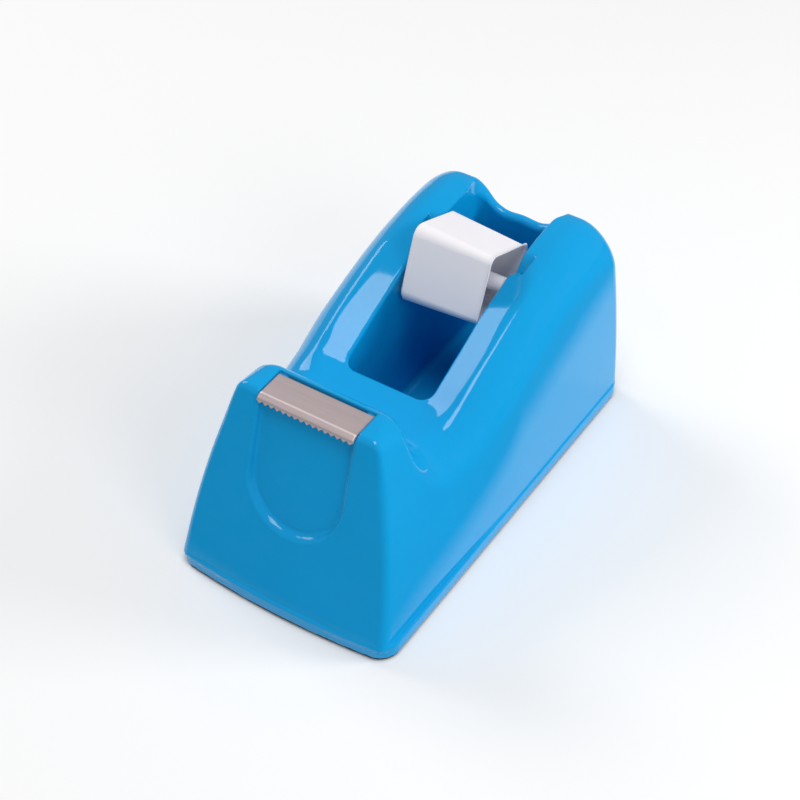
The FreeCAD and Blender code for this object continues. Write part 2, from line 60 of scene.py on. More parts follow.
import bmesh
import bpy
import numpy as np
from bpy.props import FloatProperty, FloatVectorProperty, PointerProperty
from mathutils import Vector

MM = 0.001


def node_box(node):
    """The lowest and highest corners of a design node, in millimetres."""
    low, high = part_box(node)
    return np.array(low) / MM, np.array(high) / MM


BODY_LOW, BODY_HIGH = node_box("body_shell")
BLADE_LOW, BLADE_HIGH = node_box("cutter_blade")
CORE_LOW, CORE_HIGH = node_box("tape_core")
AXLE_LOW, AXLE_HIGH = node_box("core_axle")
PAD_LOW, PAD_HIGH = node_box("foot_pad")
PLATE_LOW, PLATE_HIGH = node_box("base_plate")
JOINTS = {joint["name"]: joint for joint in frame["joints"]}
AXLE_Y, AXLE_Z = np.array(JOINTS["core_spin"]["pos_m"][1:]) / MM
SLOT_WAY = np.array(JOINTS["axle_lift"]["axis"][1:])
LENGTH = BODY_HIGH[1] - BODY_LOW[1]
HALF_WIDTH = BODY_HIGH[0]
FRONT = BODY_LOW[1]


# ---------------------------------------------------------------- settings

def length(name, description, millimetres):
    """A length property, given in millimetres and kept in metres."""
    return FloatProperty(name=name, description=description, default=millimetres * MM,
                         unit="LENGTH", subtype="DISTANCE", precision=5)


def share(name, description, default):
    """A property between nought and one."""
    return FloatProperty(name=name, description=description, default=default, min=0.0, max=1.0,
                         subtype="FACTOR")


def colour(name, description, default):
    """A colour property."""
    return FloatVectorProperty(name=name, description=description, default=default, size=3,
                               min=0.0, max=1.0, subtype="COLOR")


def angle(name, description, degrees):
    """An angle property, given in degrees and kept in radians."""
    return FloatProperty(name=name, description=description, default=math.radians(degrees),
                         unit="ROTATION", subtype="ANGLE")


class ShellSettings(bpy.types.PropertyGroup):
    head_top: length("Head top", "Top of the cutter head", 49.8)
    head_back: length("Head back", "Back of the cutter head, from the front edge", 24.2)
    front_lean: length("Front lean", "How far the front face leans back by the head top", 13.5)
    front_bow: length("Front bow", "How far the front edge bows out", 1.3)
    back_lean: length("Back lean", "How far the back face leans in by the ear tops", 1.6)
    skirt_top: length("Skirt top", "Top of the skirt band", 4.2)
    skirt_proud: length("Skirt step", "How far the skirt stands out from the wall", 0.6)
    footprint_corner: length("Footprint corner", "Corner radius of the footprint", 5.0)
    front_edge: length("Front edges", "Radius between the front face and the flanks", 2.0)
    head_edge: length("Head edge", "Radius between the front face and the head top", 1.2)
    back_edge: length("Back edges", "Radius between the back face and the flanks", 3.2)
    cheek_edge: length("Cheek edges", "Radius at the sides of the head top", 1.8)
    shoulder: length("Shoulder", "Radius between the flanks and the rising bands", 8.5)
    ridge_across: length("Ridge", "Distance of the ridges from the middle plane", 18.4)
    valley_fillet: length("Valley fillet", "Radius between the head's back and the valley", 6.0)
    well_half: length("Well half width", "Half the width of the tape well", 11.0)
    well_front: length("Well front", "Front of the tape well, from the front edge", 43.5)
    well_back: length("Well back", "Back of the tape well, from the front edge", 100.5)
    well_floor: length("Well floor", "Floor of the tape well", 7.5)
    well_corner: length("Well corner", "Corner radius of the tape well", 3.0)
    well_edge: length("Well edge", "Rounding of the well's rim", 0.75)
    saddle: length("Saddle", "Top of the low back wall", 42.9)
    slot_half: length("Slot half width", "Half the width of an axle slot", 1.55)
    slot_deep: length("Slot depth", "Depth of an axle slot into the wall", 3.0)
    scoop_half: length("Scoop half width", "Half the width of the thumb scoop", 12.0)
    scoop_low: length("Scoop foot", "Lowest point of the thumb scoop", 20.6)
    scoop_deep: length("Scoop depth", "Depth of the thumb scoop", 1.5)
    scoop_edge: length("Scoop edge", "Rounding of the scoop's rim", 0.6)


class BladeSettings(bpy.types.PropertyGroup):
    thick: length("Thickness", "Thickness of the blade steel", 0.5)
    crease: length("Crease", "First bend of the blade, from the front edge", 14.9)
    tooth_pitch: length("Tooth pitch", "Width of one tooth", 1.5)
    tooth_deep: length("Tooth depth", "Height of one tooth", 0.65)
    tab_half: length("Tab half width", "Half the width of the tab turned down at the back", 10.0)


class CoreSettings(bpy.types.PropertyGroup):
    side: length("Side", "Across two flats of the core", 18.8)
    corner: length("Corner", "Corner radius of the core", 3.0)
    wall: length("Wall", "Wall of the core", 1.4)
    web: length("Web", "Thickness of the web in the middle", 1.6)
    hub_radius: length("Hub radius", "Outer radius of the hub", 3.6)
    hub_half: length("Hub half length", "Half the length of the hub", 5.0)
    hub_bore: length("Hub bore", "Radius of the bore in the hub", 2.0)
    rim: length("Rim", "Rounding of the core's rims", 0.6)
    turn: angle("Turn", "How far one corner of the core is turned back from straight up", -22.9)
    axle_thick: length("Axle radius", "Radius of the axle's middle", 1.95)
    axle_end: length("Axle end radius", "Radius of the axle's two ends", 1.5)
    axle_middle: length("Axle middle", "Half the length of the axle's thick middle", 10.6)


class FinishSettings(bpy.types.PropertyGroup):
    shell: colour("Shell", "Sky-blue moulded plastic", (0.003, 0.35, 0.74))
    core: colour("Core", "White moulded plastic", (0.93, 0.91, 0.95))
    blade: colour("Blade", "Brushed stainless steel", (0.62, 0.515, 0.525))
    ballast: colour("Ballast", "Raw rolled steel", (0.32, 0.31, 0.30))
    plate: colour("Base plate", "Black plastic", (0.02, 0.02, 0.022))
    foam: colour("Foot pad", "Dark foam", (0.03, 0.025, 0.022))
    shell_gloss: share("Shell roughness", "Roughness of the shell where it is cleanest", 0.05)
    core_gloss: share("Core roughness", "Roughness of the core where it is cleanest", 0.28)


class StageSettings(bpy.types.PropertyGroup):
    azimuth: angle("Azimuth", "Direction of the camera round the dispenser", 33.06)
    elevation: angle("Elevation", "Height angle of the camera", 43.62)
    distance: length("Distance", "Camera to the aim point", 447.4)
    aim_side: length("Aim side", "Aim point to the right of the origin", -0.35)
    aim_forward: length("Aim forward", "Aim point in front of the origin", 2.54)
    aim_up: length("Aim up", "Aim point above the desk", 25.0)
    lens: FloatProperty(name="Lens", description="Focal length of the camera", default=90.05,
                        unit="CAMERA")
    floor: colour("Floor", "Colour of the pale floor", (0.97, 0.97, 0.97))


def millimetres(settings):
    """Every length of a settings group by name, in millimetres."""
    return {key: getattr(settings, key) / MM for key in settings.bl_rna.properties.keys()
            if settings.bl_rna.properties[key].type == "FLOAT"
            and settings.bl_rna.properties[key].unit == "LENGTH"}


# ---------------------------------------------------------------- meshes from grids

def grid_faces(rows, columns, wrap_rows=False, wrap_columns=False, start=0):
    """Quads between neighbouring points of a grid counted row by row; a wrapped side closes on itself."""
    row, column = np.meshgrid(np.arange(rows - (not wrap_rows)), np.arange(columns - (not wrap_columns)),
                              indexing="ij")
    row_next, column_next = (row + 1) % rows, (column + 1) % columns
    corners = [(row, column), (row, column_next), (row_next, column_next), (row_next, column)]
    return start + np.stack([r * columns + c for r, c in corners], axis=-1).reshape(-1, 4)


def new_mesh(name, points, quads):
    """A mesh from points in millimetres and quads, written as whole arrays."""
    mesh = bpy.data.meshes.new(name)
    mesh.vertices.add(len(points))
    mesh.vertices.foreach_set("co", (points * MM).astype(np.float32).ravel())
    mesh.loops.add(quads.size)
    mesh.loops.foreach_set("vertex_index", quads.astype(np.int32).ravel())
    mesh.polygons.add(len(quads))
    mesh.polygons.foreach_set("loop_start", np.arange(0, quads.size, 4, dtype=np.int32))
    mesh.update(calc_edges=True)
    mesh.polygons.foreach_set("use_smooth", np.ones(len(quads), bool))
    return mesh


def weld(mesh):
    """Join points that lie together, such as those of a pole, and point every face outwards."""
    work = bmesh.new()
    work.from_mesh(mesh)
    bmesh.ops.remove_doubles(work, verts=work.verts, dist=1e-7)
    bmesh.ops.dissolve_degenerate(work, edges=work.edges, dist=1e-8)
    bmesh.ops.recalc_face_normals(work, faces=work.faces)
    work.to_mesh(mesh)
    work.free()


def add_piece(mesh, body, material, nodes=()):
    """Put a finished mesh in the scene: it rides on a body and stands for the design nodes named."""
    piece = bpy.data.objects.new(mesh.name, mesh)
    bpy.context.scene.collection.objects.link(piece)
    mesh.materials.append(material)
    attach(piece, body)
    if nodes:
        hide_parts(*nodes)
    return piece


def crisp(piece, degrees):
    """Shade the faces smooth apart from edges sharper than this angle."""
    piece.data.set_sharp_from_angle(angle=math.radians(degrees))


def weighted(piece):
    """Shade flat faces flat up to their rounded edges, by weighting normals with the faces' areas."""
    piece.modifiers.new("face_weight", "WEIGHTED_NORMAL").keep_sharp = True


def smooth_curve(distance, knots):
    """Cubic curve through the knots; its slope at a knot is that of the line between its neighbours."""
    at, value = np.array(knots, float).T
    slope = np.gradient(value, at)
    i = np.clip(np.searchsorted(at, distance) - 1, 0, len(at) - 2)
    span = at[i + 1] - at[i]
    t = np.clip((distance - at[i]) / span, 0.0, 1.0)
    rise = value[i + 1] - value[i]
    return (value[i] + rise * t * t * (3 - 2 * t) + span * t * (1 - t)
            * (slope[i] * (1 - t) - slope[i + 1] * t))


def ease(low, high, value):
    """Zero below low, one above high, and a smooth S between."""
    t = np.clip((value - low) / (high - low), 0.0, 1.0)
    return t * t * (3 - 2 * t)


def bent_line(corners, radii, arc_steps=6):
    """A line through corners, each inner corner turned by an arc of its radius that touches both runs."""
    corners = np.array(corners, float)
    parts = [corners[:1]]
    for before, corner, after, radius in zip(corners, corners[1:], corners[2:], radii):
        back = (before - corner) / np.linalg.norm(before - corner)
        on = (after - corner) / np.linalg.norm(after - corner)
        half = math.acos(np.clip(back @ on, -1, 1)) / 2
        centre = corner + (back + on) / np.linalg.norm(back + on) * radius / math.sin(half)
        first = corner + back * radius / math.tan(half) - centre
        sweep = math.pi - 2 * half
        turn = math.copysign(1.0, first[0] * on[1] - first[1] * on[0])
        a = np.linspace(0, sweep, arc_steps + 1)[:, None] * turn
        parts.append(centre + first * np.cos(a) + np.array([-first[1], first[0]]) * np.sin(a))
    return np.concatenate(parts + [corners[-1:]])


# ---------------------------------------------------------------- the moulded shell

# Height of the ridges, and how far the bands dip from them to the rim of the well, along the body.
RIDGE = [(20.0, 35.0), (33.0, 35.0), (38.0, 35.5), (43.0, 37.1), (48.0, 39.5), (57.0, 43.3), (68.0, 47.4),
         (79.0, 50.4), (87.0, 51.5), (93.0, 51.7), (98.0, 51.3), (102.5, 49.5), (108.0, 45.0)]
BAND_DIP = [(20.0, 0.0), (34.0, 0.0), (39.0, 0.7), (43.5, 1.9), (49.0, 2.2), (57.0, 2.1), (66.0, 1.6),
            (75.0, 1.7), (86.0, 1.1), (97.0, 0.5), (108.0, 0.0)]
# The saddle's cut starts this far ahead of the well's back, and slants back outside the well.
SADDLE_LEAD, SADDLE_SLANT = 3.0, 1.6
SADDLE_RISE = [(0.0, 0.0), (5.5, 0.0), (7.5, 1.0), (9.1, 2.6), (10.7, 4.7), (12.4, 7.6), (15.0, 13.0)]


def both(a, b, radius):
    """Inside both fields, with the edge between them rounded to a radius."""
    corner = np.hypot(np.maximum(a + radius, 0.0), np.maximum(b + radius, 0.0))
    return np.minimum(np.maximum(a, b), -radius) + corner


def either(a, b, radius):
    """Inside either field, with the inner corner between them filled to a radius."""
    return -both(-a, -b, radius)


def without(a, b, radius):
    """Inside the first field and outside the second, with the rim rounded to a radius."""
    return both(a, -b, radius)


def footprint_field(x, y, m):
    """Distance outside the bowed, round-cornered footprint."""
    r = m["footprint_corner"]
    front = m["front_bow"] * np.minimum((x / (HALF_WIDTH - r)) ** 2, 1.0)
    across = np.abs(x) - HALF_WIDTH + r
    along = np.abs(y - (front + LENGTH) / 2) - (LENGTH - front) / 2 + r
    outside = np.hypot(np.maximum(across, 0.0), np.maximum(along, 0.0))
    return outside + np.minimum(np.maximum(across, along), 0.0) - r


def flank_field(x, y, z):
    """Distance outside the flanks: a plain taper at the head that fills out to an upright rear body."""
    head = 27.2 - 0.06 * z - 0.00265 * z * z
    rear = 27.65 - 0.01 * z - 0.0012 * z * z
    return (np.abs(x) - head - (rear - head) * ease(16.0, 58.0, y)) / 1.02


def top_field(x, y, z, m):
    """Distance above the top: the flat head, or the valley and the two bands that rise behind it."""
    head_back = m["head_back"] + 0.19 * (m["head_top"] - z)
    head = both(z - m["head_top"], (y - head_back) / 1.02, 2.2)
    band = m["ridge_across"] - m["well_half"]
    inward = (m["ridge_across"] - np.abs(x)) / band
    blur = 0.03 + 0.5 * ease(70.0, 84.0, y) + 0.4 * (1 - ease(34.0, 42.0, y))
    bend = np.hypot(inward, blur)
    dip = smooth_curve(y, BAND_DIP) * np.minimum(0.5 * (bend + inward), 1.0)
    fall = 1.6 * ease(36.0, 50.0, y) * 0.5 * (bend - inward)
    ridge = smooth_curve(y, RIDGE)
    slope = (smooth_curve(y + 0.1, RIDGE) - smooth_curve(y - 0.1, RIDGE)) / 0.2
    rear = (z - ridge + dip + fall) / np.hypot(1.0, slope)
    return either(head, rear, m["valley_fillet"])


def front_depth(x, y, z, m):
    """Distance behind the bowed, leaning front face."""
    rise = m["head_top"] - m["skirt_top"]
    face = m["skirt_proud"] + m["front_lean"] * (z - m["skirt_top"]) / rise
    face = face + m["front_bow"] * (x / HALF_WIDTH) ** 2
    return (y - face) * rise / math.hypot(rise, m["front_lean"])


def scoop_field(x, y, z, m):
    """A U-shaped recess of even depth in the front face, open at its top."""
    rise = m["head_top"] - m["skirt_top"]
    stretch = math.hypot(rise, m["front_lean"]) / rise
    up = (z - m["scoop_low"]) * stretch - m["scoop_half"]
    depth = front_depth(x, y, z, m)
    wall = (np.hypot(x, np.minimum(up, 0.0)) - m["scoop_half"] + 0.45 * depth) / 1.1
    return both(wall, depth - m["scoop_deep"], 0.5)


def seat_field(x, y, z, blade):
    """The recess that holds the blade, with a slit at its back for the tab."""
    floor = BLADE_HIGH[2] - blade["thick"] - np.maximum(blade["crease"] - y, 0.0) * 0.55
    back = BLADE_HIGH[1] - FRONT + 0.25
    seat = np.maximum(np.maximum(np.abs(x) - BLADE_HIGH[0] - 0.25, y - back), floor - z)
    slit = np.maximum(np.abs(x) - blade["tab_half"] - 0.1, np.abs(y - back + 0.5) - 0.5)
    return np.minimum(seat, np.maximum(slit, BLADE_LOW[2] - 0.1 - z))


def well_field(x, y, z, m):
    """The deep tape well: a round-cornered box with a filleted floor."""
    r = m["well_corner"]
    middle = (m["well_front"] + m["well_back"]) / 2
    across = np.abs(x) - m["well_half"] + r
    along = np.abs(y - middle) - (m["well_back"] - m["well_front"]) / 2 + r
    wall = np.hypot(np.maximum(across, 0.0), np.maximum(along, 0.0))
    wall = wall + np.minimum(np.maximum(across, along), 0.0) - r
    return both(wall, m["well_floor"] - z, 1.6)


def slot_field(x, y, z, m):
    """The two inclined axle slots: a half-round seat and a lane that runs up and back out of the ears."""
    dy, dz = y + FRONT - AXLE_Y, z - AXLE_Z
    along = dy * SLOT_WAY[0] + dz * SLOT_WAY[1]
    across = dz * SLOT_WAY[0] - dy * SLOT_WAY[1]
    lane = np.hypot(across, np.minimum(along, 0.0)) - m["slot_half"]
    return np.maximum(lane, np.abs(np.abs(x) - m["well_half"]) - m["slot_deep"])


def shell_field(x, y, z, m, blade):
    """Distance outside the shell, as planes and tapers joined two by two with rounded edges.

    x is across, y is back from the front edge and z is up, in millimetres. The body is what lies
    inside the flanks, the top, the front and the back; the skirt is added, and the tape well, the
    saddle, the slots, the blade's seat, the scoop and the pocket for the base plate are taken out.
    """
    turn = m["cheek_edge"] + (m["shoulder"] - m["cheek_edge"]) * ease(13.0, 33.0, y)
    body = both(flank_field(x, y, z), top_field(x, y, z, m), turn)
    edge = m["front_edge"] + (m["head_edge"] - m["front_edge"]) * ease(38.0, 48.0, z)
    body = both(body, -front_depth(x, y, z, m), edge)
    back = LENGTH - m["skirt_proud"] - m["back_lean"] * (z - m["skirt_top"]) / (BODY_HIGH[2] - m["skirt_top"])
    body = both(body, y - back, m["back_edge"])
    footprint = footprint_field(x, y, m)
    skirt = both(both(footprint, z - m["skirt_top"], 0.5), BODY_LOW[2] - z, 0.2)
    shell = either(np.maximum(body, m["skirt_top"] - 1.0 - z), skirt, 0.3)
    shell = without(shell, well_field(x, y, z, m), m["well_edge"])
    low_wall = m["saddle"] + smooth_curve(np.abs(x), SADDLE_RISE)
    slant = SADDLE_SLANT * np.maximum(np.abs(x) - m["well_half"], 0.0)
    cut_front = (m["well_back"] - SADDLE_LEAD - y + slant) / 1.9
    shell = without(shell, both((low_wall - z) / 1.25, cut_front, 1.5), 1.2)
    shell = without(shell, slot_field(x, y, z, m), 0.35)
    shell = without(shell, seat_field(x, y, z, blade), 0.22)
    shell = without(shell, scoop_field(x, y, z, m), m["scoop_edge"])
    pocket = np.maximum(footprint + HALF_WIDTH - PLATE_HIGH[0] - 0.1, z - PLATE_HIGH[2])
    return np.maximum(shell, -pocket)


def lattice_line(*stretches):
    """Places of lattice lines along one axis, from stretches of (start, end, step)."""
    parts = [np.linspace(low, high, round((high - low) / step), endpoint=False)
             for low, high, step in stretches]
    return np.concatenate(parts + [[stretches[-1][1]]])


def surface_net(field, lines):
    """The zero surface of a field as quads.

    Each lattice cell that the surface crosses gets one point, at the mean of the crossings on the
    cell's edges. Each lattice edge that the surface cuts gets one quad, between its four cells.
    """
    places = np.meshgrid(*lines, indexing="ij")
    values = field(*places)
    inside = values < 0
    cells = tuple(n - 1 for n in values.shape)
    total = np.zeros(cells + (3,))
    hits = np.zeros(cells)
    number = np.zeros(cells, int)
    cuts = []
    for axis in range(3):
        side, other = (axis + 1) % 3, (axis + 2) % 3
        low = [slice(None)] * 3
        high = [slice(None)] * 3
        low[axis], high[axis] = slice(None, -1), slice(1, None)
        low, high = tuple(low), tuple(high)
        cut = inside[low] != inside[high]
        with np.errstate(divide="ignore", invalid="ignore"):
            t = np.where(cut, values[low] / (values[low] - values[high]), 0.0)
        point = np.stack([p[low] + t * (p[high] - p[low]) for p in places], axis=-1)
        cuts.append((cut, inside[low], side, other))
        for a in (0, 1):
            for b in (0, 1):
                window = [slice(None)] * 3
                window[side] = slice(a, values.shape[side] - 1 + a)
                window[other] = slice(b, values.shape[other] - 1 + b)
                window = tuple(window)
                total += np.where(cut[window][..., None], point[window], 0.0)
                hits += cut[window]
    used = hits > 0
    number[used] = np.arange(used.sum())
    quads = []
    for cut, low_inside, side, other in cuts:
        at = np.array(np.nonzero(cut))
        corners = []
        for a, b in ((1, 1), (0, 1), (0, 0), (1, 0)):
            cell = at.copy()
            cell[side] -= a
            cell[other] -= b
            corners.append(number[tuple(cell)])
        quad = np.stack(corners, axis=-1)
        outward = low_inside[tuple(at)]
        quads.append(np.where(outward[:, None], quad, quad[:, ::-1]))
    return total[used] / hits[used][:, None], np.concatenate(quads)


def slope_of(field, points, step=0.02):
    """Slope of a field at many points, from small steps both ways along each axis."""
    offsets = np.eye(3) * step
    slopes = [(field(*(points + o).T) - field(*(points - o).T)) / (2 * step) for o in offsets]
    return np.stack(slopes, axis=-1)


def settle(field, points, rounds=5, reach=0.4):
    """Move the points down the field's slope until they lie on its zero surface."""
    for _ in range(rounds):
        slope = slope_of(field, points)
        step = (field(*points.T) / np.maximum((slope ** 2).sum(-1), 0.05))[:, None] * slope
        points = points - np.clip(step, -reach, reach)
    return points


def shell_mesh(m, blade):
    """The shell's surface, finer where its edges are small, with normals from the field's slope."""
    side = HALF_WIDTH + 0.63
    lines = (lattice_line((-side, -8.1, 0.5), (-8.1, 8.1, 0.9), (8.1, side, 0.5)),
             lattice_line((-0.63, 26.0, 0.46), (26.0, 98.0, 0.9), (98.0, LENGTH + 0.63, 0.5)),
             lattice_line((0.37, 6.7, 0.48), (6.7, 19.3, 1.5), (19.3, 34.0, 0.62), (34.0, 52.4, 0.42)))

    def field(x, y, z):
        return shell_field(x, y, z, m, blade)

    points, quads = surface_net(field, lines)
    points = settle(field, points)
    normals = slope_of(field, points)
    normals /= np.maximum(np.linalg.norm(normals, axis=-1, keepdims=True), 1e-9)
    points = points + np.array([0.0, FRONT, 0.0])
    points = np.clip(points, BODY_LOW, BODY_HIGH)
    mesh = new_mesh("moulded_shell", points, quads)
    mesh.normals_split_custom_set_from_vertices(normals)
    return mesh


# ---------------------------------------------------------------- blade, core, axle and pad

def blade_mesh(m):
    """The blade: a side line with four bends carried across, its free edge notched by a triangle wave.

    Row s, column x: the point at s along the side line, at x across. On the last rows s is pulled
    back by the depth of the notch at x. Behind the back bend the strip narrows to the tab.
    """
    back = BLADE_HIGH[1] - m["thick"] / 2
    top = BLADE_HIGH[2] - m["thick"] / 2
    crease = FRONT + m["crease"]
    tip = BLADE_LOW[1] + m["thick"] / 2
    line = bent_line([(back, BLADE_LOW[2] + 0.1), (back, top), (crease, top), (tip + 0.4, top - 0.6),
                      (tip + 0.02, top - 1.5)], [0.5, 0.2, 0.2])
    teeth = round((BLADE_HIGH[0] - BLADE_LOW[0]) / m["tooth_pitch"])
    across = np.linspace(BLADE_LOW[0], BLADE_HIGH[0], 4 * teeth + 1)
    wave = np.abs(np.mod((across - BLADE_LOW[0]) / m["tooth_pitch"], 1.0) - 0.5) * 2
    last = line[-1] - line[-2]
    run = np.linalg.norm(last)
    steps = np.array([0.4, 0.7, 1.0])
    rows = [np.repeat(p[None], len(across), 0) for p in line[:-1]]
    rows += [line[-2] + last * (s * (1 - wave[:, None] * m["tooth_deep"] / run)) for s in steps]
    side = np.stack(rows)
    width = np.where(np.arange(len(rows)) < 2, m["tab_half"] / BLADE_HIGH[0], 1.0)
    x = across[None, :] * width[:, None]
    points = np.concatenate([x[..., None], side], axis=-1)
    return new_mesh("toothed_blade", points.reshape(-1, 3), grid_faces(*x.shape)[:, ::-1])


def square_ring(m, count=16):
    """Corner centre and outward direction at each step round the core's rounded square."""
    reach = m["side"] / 2 - m["corner"]
    corner = np.arange(4)[:, None] * math.pi / 2 + m["turn_angle"]
    direction = corner + np.linspace(-math.pi / 4, math.pi / 4, count + 1)[None, :]
    centre = reach * math.sqrt(2) * np.stack([np.sin(corner), np.cos(corner)], -1)
    centre = np.broadcast_to(centre, (4, count + 1, 2)).reshape(-1, 2)
    outward = np.stack([np.sin(direction), np.cos(direction)], -1).reshape(-1, 2)
    return centre, outward


def closed_tube(name, x, ring):
    """A ring of points carried round a closed loop of x places: row is the loop, column is the ring."""
    points = np.concatenate([np.broadcast_to(x[:, None, None], ring.shape[:2] + (1,)), ring], axis=-1)
    points = np.clip(points + np.array([0.0, AXLE_Y, AXLE_Z]), CORE_LOW, CORE_HIGH)
    return new_mesh(name, points.reshape(-1, 3), grid_faces(*ring.shape[:2], True, True))


def round_loop(corners, radii, arc_steps=5):
    """A closed line through corners with an arc at each of them."""
    corners = [np.array(c, float) for c in corners]
    start = (corners[-1] + corners[0]) / 2
    return bent_line([start] + corners + [start], radii, arc_steps)[:-1]


def drum_mesh(m):
    """The core's drum: the wall's section, a slim rounded loop, carried round the rounded square."""
    half = CORE_HIGH[0]
    loop = round_loop([(-m["wall"], half), (0.0, half), (0.0, -half), (-m["wall"], -half)], [m["rim"]] * 4)
    centre, outward = square_ring(m)
    ring = centre[None] + outward[None] * (m["corner"] + loop[:, 0])[:, None, None]
    return closed_tube("core_drum", loop[:, 1], ring)


def hub_mesh(m):
    """Web and hub: round at the bore and hub, and spread to the drum's rounded square at the web's rim."""
    half, web = m["hub_half"], m["web"] / 2
    loop = round_loop([(0.0, half), (1.0, half), (1.0, web), (2.0, web), (2.0, -web), (1.0, -web),
                       (1.0, -half), (0.0, -half)], [0.12, 0.2, 0.25, 0.05, 0.05, 0.25, 0.2, 0.12])
    centre, outward = square_ring(m)
    bearing = centre + outward * (m["corner"] - m["wall"] / 2)
    spoke = bearing / np.linalg.norm(bearing, axis=-1, keepdims=True)
    part = loop[:, 0][:, None, None]
    radius = m["hub_bore"] + (m["hub_radius"] - m["hub_bore"]) * np.minimum(part, 1.0)
    spread = np.maximum(part - 1.0, 0.0)
    ring = spoke[None] * radius * (1 - spread) + bearing[None] * spread
    return closed_tube("core_hub_and_web", loop[:, 1], ring)


def axle_mesh(m):
    """The axle: a stepped side line with eased corners, turned about the core's axis."""
    end, shoulder = AXLE_HIGH[0], m["axle_middle"]
    thin, thick = m["axle_end"], m["axle_thick"]
    side = bent_line([(-end, 0.0), (-end, thin), (-shoulder, thin), (-shoulder, thick), (shoulder, thick),
                      (shoulder, thin), (end, thin), (end, 0.0)], [0.35, 0.08, 0.15, 0.15, 0.08, 0.35])
    around = np.linspace(0, 2 * math.pi, 48, endpoint=False)
    ring = side[:, 1][:, None, None] * np.stack([np.cos(around), np.sin(around)], -1)[None]
    points = np.concatenate([np.broadcast_to(side[:, 0][:, None, None], ring.shape[:2] + (1,)), ring], -1)
    points = points + np.array([0.0, AXLE_Y, AXLE_Z])
    mesh = new_mesh("axle_pin", points.reshape(-1, 3), grid_faces(*ring.shape[:2], False, True))
    weld(mesh)
    return mesh


def footprint_ring(inset, m, arc_steps=10):
    """The bowed footprint as one closed line, drawn in by an inset, with its outward directions."""
    r = m["footprint_corner"] - inset
    x = HALF_WIDTH - m["footprint_corner"]
    back = LENGTH - m["footprint_corner"] + FRONT
    front = FRONT + m["front_bow"] + m["footprint_corner"]
    arc = np.linspace(0, math.pi / 2, arc_steps)
    corners = [((x, back), 0.0), ((-x, back), 1.0), ((-x, front), 2.0), ((x, front), 3.0)]
    parts = []
    for (cx, cy), quarter in corners:
        a = arc + quarter * math.pi / 2
        parts.append(np.stack([cx + r * np.cos(a), cy + r * np.sin(a)], -1))
    edge = np.linspace(-x, x, 25)[1:-1]
    bow = np.stack([edge, FRONT + inset + m["front_bow"] * (edge / x) ** 2], -1)
    return np.concatenate([*parts[:3], bow, parts[3]])


def pad_mesh(m):
    """The foam pad: the footprint's line on levels, drawn in at the rims and closed at its middle."""
    inset = HALF_WIDTH - PAD_HIGH[0]
    low, high = PAD_LOW[2], PAD_HIGH[2]
    lip, closed = 3.0, 40.0
    levels = [(closed, low), (lip, low), (0.35, low), (0.1, low + 0.08), (0.0, low + 0.3),
              (0.05, high - 0.2), (0.3, high), (lip, high), (closed, high)]
    rings = []
    for drawn, z in levels:
        ring = footprint_ring(inset + min(drawn, lip), m) * (drawn <= lip)
        rings.append(np.concatenate([ring, np.full((len(ring), 1), z)], -1))
    points = np.stack(rings)
    mesh = new_mesh("foam_pad", points.reshape(-1, 3), grid_faces(*points.shape[:2], False, True))
    weld(mesh)
    return mesh


# ---------------------------------------------------------------- finishes

def new_group(name, inputs, outputs):
    """An empty shader node group with named sockets: (name, kind, default) in and (name, kind) out."""
    group = bpy.data.node_groups.new(name, "ShaderNodeTree")
    for label, kind, default in inputs:
        socket = group.interface.new_socket(label, in_out="INPUT", socket_type="NodeSocket" + kind)
        socket.default_value = default
    for label, kind in outputs:
        group.interface.new_socket(label, in_out="OUTPUT", socket_type="NodeSocket" + kind)
    return group, group.nodes.new("NodeGroupInput"), group.nodes.new("NodeGroupOutput")


def add_node(tree, kind, **values):
    """A node with its options set by name, and its input sockets by their labels."""
    node = tree.nodes.new("ShaderNode" + kind)
    for key, value in values.items():
        label = key.replace("_", " ")
        if label in node.inputs:
            node.inputs[label].default_value = value
        else:
            setattr(node, key, value)
    return node


def noise(tree, vector, scale, detail=3.0, roughness=0.5):
    """The value of a noise texture."""
    texture = add_node(tree, "TexNoise", Scale=scale, Detail=detail, Roughness=roughness)
    tree.links.new(vector, texture.inputs["Vector"])
    return texture.outputs["Fac"]


def remap(tree, value, low, high, to_low, to_high):
    """Carry a value from one range to another, held at the ends."""
    node = add_node(tree, "MapRange", From_Min=low, From_Max=high)
    tree.links.new(value, node.inputs["Value"])
    for label, target in (("To Min", to_low), ("To Max", to_high)):
        if isinstance(target, bpy.types.NodeSocket):
            tree.links.new(target, node.inputs[label])
        else:
            node.inputs[label].default_value = target
    return node.outputs["Result"]


def math_node(tree, operation, a, b):
    """One sum of two sockets or numbers."""
    node = add_node(tree, "Math", operation=operation)
    for socket, value in zip(node.inputs, (a, b)):
        if isinstance(value, bpy.types.NodeSocket):
            tree.links.new(value, socket)
        else:
            socket.default_value = value
    return node.outputs[0]


def shade(tree, base, factor):
    """A colour made lighter or darker by a factor that changes over the surface."""
    node = add_node(tree, "HueSaturation")
    tree.links.new(base, node.inputs["Color"])
    tree.links.new(factor, node.inputs["Value"])
    return node.outputs["Color"]


def object_place(tree):
    """The place on the piece, in its own coordinates."""
    return add_node(tree, "TexCoord").outputs["Object"]


